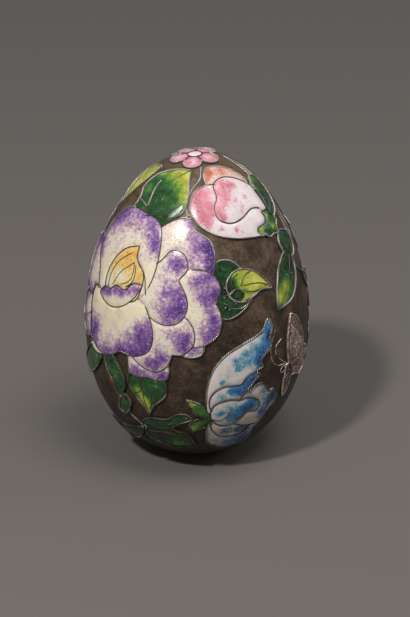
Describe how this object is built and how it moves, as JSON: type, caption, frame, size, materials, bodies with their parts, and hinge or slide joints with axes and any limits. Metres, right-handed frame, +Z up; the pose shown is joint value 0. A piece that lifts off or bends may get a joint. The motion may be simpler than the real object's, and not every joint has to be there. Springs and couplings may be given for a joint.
{
  "type": "enamelled egg ornament",
  "caption": "Decorative metal egg standing on its flattened blunt end, with raised enamel flowers, leaves and a butterfly outlined in twisted wire.",
  "frame": {"origin": "centre of the flat foot on the egg's underside", "axes": "+Z up along the egg's axis, the peony side of the picture faces -Y, +X to its right"},
  "size_m": [0.0696, 0.0709, 0.0985],
  "materials": {
    "ground_metal": "oxidised brown-grey metal, satin, finely mottled",
    "wire_metal": "twisted silvery wire, dulled in its hollows",
    "enamel_purple": "glossy enamel, cream at a petal's base to speckled purple at its rim",
    "enamel_cream": "glossy cream enamel with fine specks",
    "enamel_amber": "glossy golden enamel",
    "enamel_pink": "glossy rose-pink enamel",
    "enamel_pale_pink": "glossy pale pink and white enamel",
    "enamel_green": "glossy dark green enamel",
    "enamel_yellow_green": "glossy enamel shading from yellow to green",
    "enamel_sky_blue": "glossy enamel, white with turquoise blots",
    "enamel_blue": "glossy strong blue enamel",
    "enamel_mauve": "glossy mauve-brown enamel"
  },
  "bodies": {
    "root": {"back_flower_heart": "enamel_amber", "back_flower_petal_1": "enamel_purple", "back_flower_petal_2": "enamel_purple", "back_flower_petal_3": "enamel_purple", "back_flower_petal_4": "enamel_purple", "back_flower_petal_5": "enamel_purple", "back_flower_wires": "wire_metal", "back_leaf_left": "enamel_green", "back_leaf_low": "enamel_yellow_green", "back_leaf_right": "enamel_green", "base_leaf": "enamel_green", "blossom_petal_1": "enamel_pale_pink", "blossom_petal_2": "enamel_pale_pink", "blossom_petal_3": "enamel_pale_pink", "blossom_petal_4": "enamel_pale_pink", "blossom_petal_5": "enamel_pale_pink", "blossom_wires": "wire_metal", "blue_flower_back_petal": "enamel_blue", "blue_flower_front_petal": "enamel_sky_blue", "blue_flower_long_petal": "enamel_sky_blue", "blue_flower_lower_petal": "enamel_sky_blue", "blue_flower_lower_sepal": "enamel_yellow_green", "blue_flower_lowest_petal": "enamel_sky_blue", "blue_flower_second_petal": "enamel_blue", "blue_flower_upper_sepal": "enamel_green", "blue_flower_wires": "wire_metal", "butterfly_body": "enamel_mauve", "butterfly_fore_wing": "enamel_mauve", "butterfly_hind_wing": "enamel_mauve", "butterfly_wires": "wire_metal", "curled_leaf": "enamel_yellow_green", "curled_leaf_lower_lobe": "enamel_green", "curled_leaf_upper_lobe": "enamel_green", "egg_body": "ground_metal", "far_left_leaf": "enamel_green", "leaf_above_peony": "enamel_yellow_green", "leaf_below_peony": "enamel_green", "left_leaf": "enamel_green", "low_leaf": "enamel_green", "low_leaf_wires": "wire_metal", "peony_cup_petal": "enamel_cream", "peony_heart": "enamel_amber", "peony_large_petal": "enamel_purple", "peony_left_petal": "enamel_cream", "peony_lower_left_petal": "enamel_cream", "peony_lower_petal": "enamel_purple", "peony_middle_petal": "enamel_purple", "peony_right_petal": "enamel_purple", "peony_top_left_petal": "enamel_purple", "peony_top_right_petal": "enamel_purple", "peony_under_petal": "enamel_purple", "peony_wires": "wire_metal", "right_leaf": "enamel_green", "right_leaf_wire": "wire_metal", "rosebud_back_petal": "enamel_pale_pink", "rosebud_calyx": "enamel_yellow_green", "rosebud_heart_petal": "enamel_pale_pink", "rosebud_leaf": "enamel_green", "rosebud_outer_petal": "enamel_pink", "rosebud_wires": "wire_metal"}
  },
  "joints": []
}
